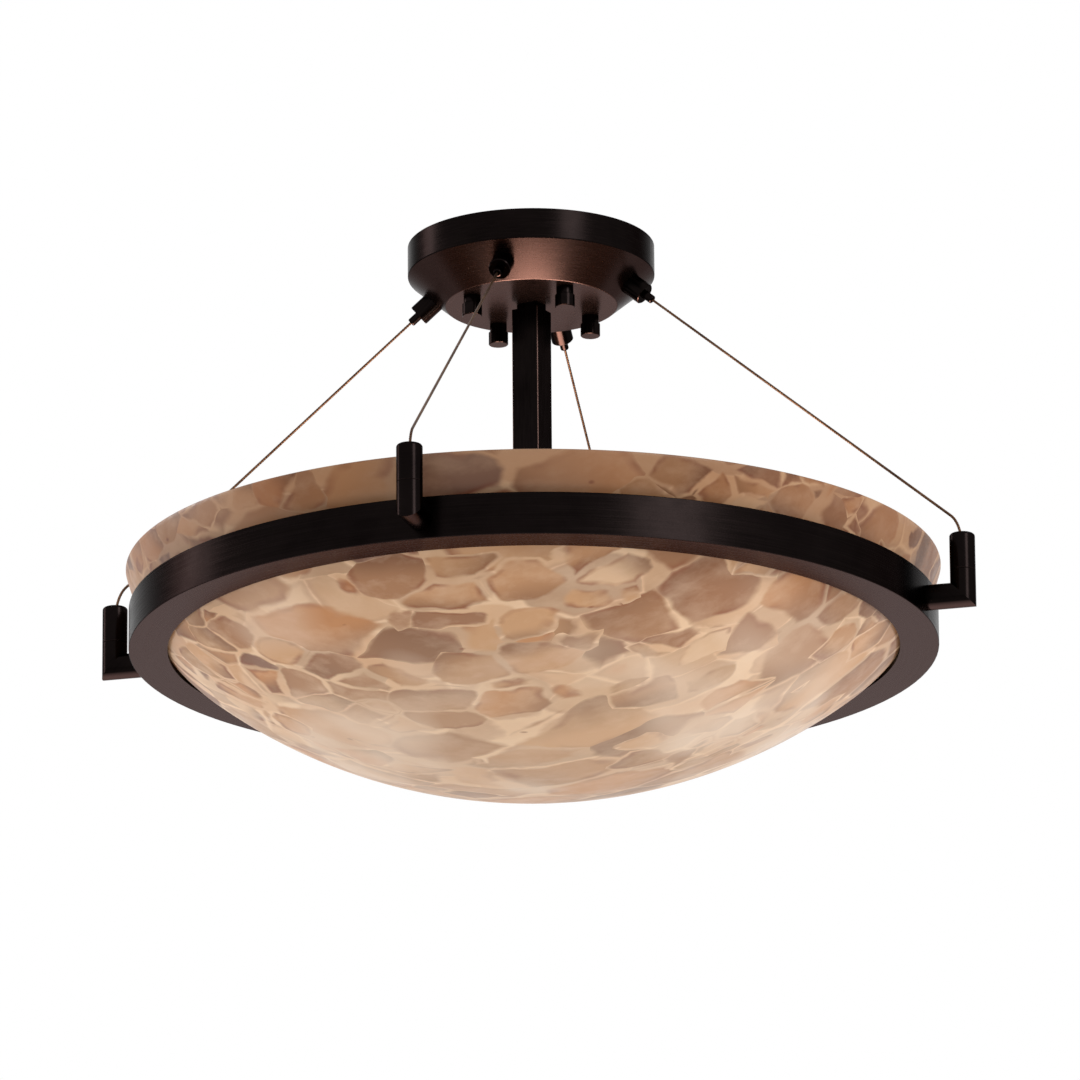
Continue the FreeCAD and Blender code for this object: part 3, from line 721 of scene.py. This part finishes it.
def chipLayer(tree, place, size):
    # one size of chip: where it lies, its colour, its own random numbers, depth inside and middle
    scale, gapLow, gapHigh, start = stone[size]
    if any(start):
        place = vectorSums(tree, "ADD", place, start)
    edge = cells(tree, place, scale, "DISTANCE_TO_EDGE", stone["scatter"]).outputs["Distance"]
    centre = cells(tree, place, scale, "F1", stone["scatter"])
    middle = centre.outputs["Position"]
    dice = parted(tree, centre.outputs["Color"])
    uneven = cloudy(tree, place, scale * 1.1, 1.0, 0.5)
    gap = sums(tree, "MULTIPLY_ADD", stretched(tree, uneven, 0.35, 0.65, -0.5, 0.5), gapHigh - gapLow,
               stretched(tree, dice[1], 0.0, 1.0, gapLow, gapHigh))
    ragged = cloudy(tree, place, scale * 5, 2.0, 0.5)
    fromEdge = sums(tree, "SUBTRACT", sums(tree, "MULTIPLY_ADD", ragged, 0.06, edge), gap)
    fromCorner = sums(tree, "SUBTRACT", stone["corner"] + 0.06, centre.outputs["Distance"])
    fromCorner = sums(tree, "MULTIPLY_ADD", ragged, 0.08, fromCorner)
    depth = sums(tree, "SMOOTH_MIN", fromEdge, fromCorner, 0.10)
    inside = stretched(tree, depth, -0.03, 0.06, smooth=True)
    colour = picked(tree, dice[0], stone["palette"])
    lean = vectorSums(tree, "SUBTRACT", centre.outputs["Color"], (0.5, 0.5, 0.5))
    away = vectorSums(tree, "SUBTRACT", place, middle)
    slope = product(tree, vectorSums(tree, "DOT_PRODUCT", away, lean), scale * 1.6)
    shade = stretched(tree, slope, -0.15, 0.5, 0.0, 0.8, smooth=True)
    veins = cloudy(tree, vectorSums(tree, "ADD", place, lean), scale * 1.5, 5.0, 0.6)
    colour = mixed(tree, shade, colour, stone["shadow"])
    colour = mixed(tree, stretched(tree, veins, 0.46, 0.78, 0.0, 0.4), colour, stone["pale"])
    patches = cloudy(tree, place, scale * 1.3, 2.0, 0.5)
    rusty = product(tree, stretched(tree, depth, 0.02, 0.13, 1.0, 0.0),
                    stretched(tree, patches, 0.48, 0.62, 0.0, 0.8))
    colour = mixed(tree, rusty, colour, stone["rust"])
    return inside, colour, dice, depth, middle


def chipPlace(tree, place):
    # the bowl's own coordinates, warped so that no chip has straight sides, and stretched
    swirl = cloud(tree, place, stone["swirl"], 2.5, 0.5).outputs[1]
    push = vectorSums(tree, "SUBTRACT", swirl, (0.5, 0.5, 0.5))
    bent = vectorSums(tree, "ADD", place, vectorSums(tree, "SCALE", push, scale=stone["warp"]))
    return vectorSums(tree, "MULTIPLY", bent, stone["stretch"])


def chipColours(tree, bent):
    bigIn, bigColour, bigDice, _, _ = chipLayer(tree, bent, "large")
    smallIn, smallColour, _, smallDepth, smallMiddle = chipLayer(tree, bent, "small")
    deepIn, deepColour, _, _, _ = chipLayer(tree, bent, "buried")
    cream = cloudy(tree, bent, stone["cream"], 5.0, 0.6)
    filler = mixed(tree, cream, stone["matrixLow"], stone["matrixHigh"])
    filler = mixed(tree, product(tree, deepIn, 0.5), filler, deepColour)
    bigShown = product(tree, bigIn, sums(tree, "LESS_THAN", bigDice[2], stone["largeShown"]))
    colour = mixed(tree, bigShown, filler, bigColour)
    # a small chip shows where its middle falls in one of the coarse cells that hold small ones
    home = vectorSums(tree, "SUBTRACT", smallMiddle, stone["small"][3])
    home = cells(tree, home, stone["large"][0], "F1", stone["scatter"])
    cluster = sums(tree, "GREATER_THAN", parted(tree, home.outputs["Color"])[2], stone["smallLeftOut"])
    moat = product(tree, stretched(tree, smallDepth, -0.10, -0.04, smooth=True), cluster)
    colour = mixed(tree, moat, colour, filler)
    colour = mixed(tree, product(tree, smallIn, cluster), colour, smallColour)
    crumbs = cells(tree, bent, stone["crumbs"])
    crumbIn = stretched(tree, crumbs.outputs["Distance"], 0.08, 0.22, 1.0, 0.0)
    crumbDice = parted(tree, crumbs.outputs["Color"])[0]
    crumbChosen = sums(tree, "GREATER_THAN", crumbDice, stone["crumbsLeftOut"])
    crumbShare = product(tree, product(tree, crumbIn, crumbChosen), 0.7)
    return mixed(tree, crumbShare, colour, stone["rust"]), bigShown


def stoneMaterial():
    material, tree, shader, place = startMaterial("castStone", IOR=1.38, Emission_Strength=stone["glow"])
    colour, bigShown = chipColours(tree, chipPlace(tree, place))
    height = parted(tree, place)[2]
    # whiter stretches all over, made stronger low on the bowl as a painted glow
    milk = cloudy(tree, place, stone["milkScale"], 2.0, 0.5)
    milkAndPaintedGlow = product(tree, stretched(tree, milk, 0.46, 0.64, 0.0, 0.75),
                    stretched(tree, height, *stone["paintedGlowHeights"], 0.25, 1.0, smooth=True))
    colour = mixed(tree, milkAndPaintedGlow, colour, stone["milk"])
    # painted light: paler towards the bowl's low middle
    low = stretched(tree, height, *stone["paintedLowLightHeights"], smooth=True)
    colour = mixed(tree, product(tree, low, stone["paintedLowLightShare"]), colour, stone["paintedLowLight"])
    # painted shade: the steep upper side of the bowl is darkened
    sideShadeShare = stretched(tree, height, *stone["paintedSideShadeHeights"])
    colour = mixed(tree, sideShadeShare, colour, stone["paintedSideShade"], "MULTIPLY")
    tree.links.new(colour, shader.inputs["Base Color"])
    tree.links.new(colour, shader.inputs["Emission Color"])
    polish = cloudy(tree, place, stone["polish"], 4.0, 0.6)
    roughened(tree, shader, polish, *stone["rough"])
    raised(tree, shader, sums(tree, "MULTIPLY_ADD", bigShown, 0.12, polish), stone["bumpDepth"], 0.3)
    return material


def paint(names, material):
    # a name that ends with a star stands for every node that begins like it
    for name in names:
        for node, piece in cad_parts.items():
            if node == name or (name.endswith("*") and node.startswith(name[:-1])):
                piece.data.materials.clear()
                piece.data.materials.append(material)


bowlPiece = makeBowl()
bowlPiece.data.materials.append(stoneMaterial())
print("bowl made")

cableSteel = cableMaterial()
for piece in cables:
    piece.data.materials.append(cableSteel)

paint(["canopy", "ring"], bronzeMaterial("turnedBronze"))
paint(["canopy_cap_nuts", "gripper_body_*", "release_plunger_*", "post_cap_*", "post_elbow_*", "stem_neck",
       "finial"],
      bronzeMaterial("smallBronze", smoother=0.05))
paint(["stem_tube"], bronzeMaterial("stemBronze", turned=False))
paint(["ceiling_plate", "canopy_studs", "upper_*", "stem_upper_plug", "stem_lower_plug", "lower_*",
       "holder_*", "gripper_nuts", "cable_stops", "ring_screws"],
      platedMaterial("zincPlate", "zinc"))
paint(["ground_screw"], platedMaterial("greenScrew", "green"))
paint(["screw_shells", "centre_contacts"], platedMaterial("brass", "brass"))
paint(["bulb_cap_*"], platedMaterial("bulbCapTin", "tin"))
paint(["lamp_hub", "lamp_hub_cover"], paintMaterial())
paint(["lampholder_*"], porcelainMaterial())
paint(["bulb_glass_*"], glassMaterial())
print("finishes on the metal, porcelain and glass")
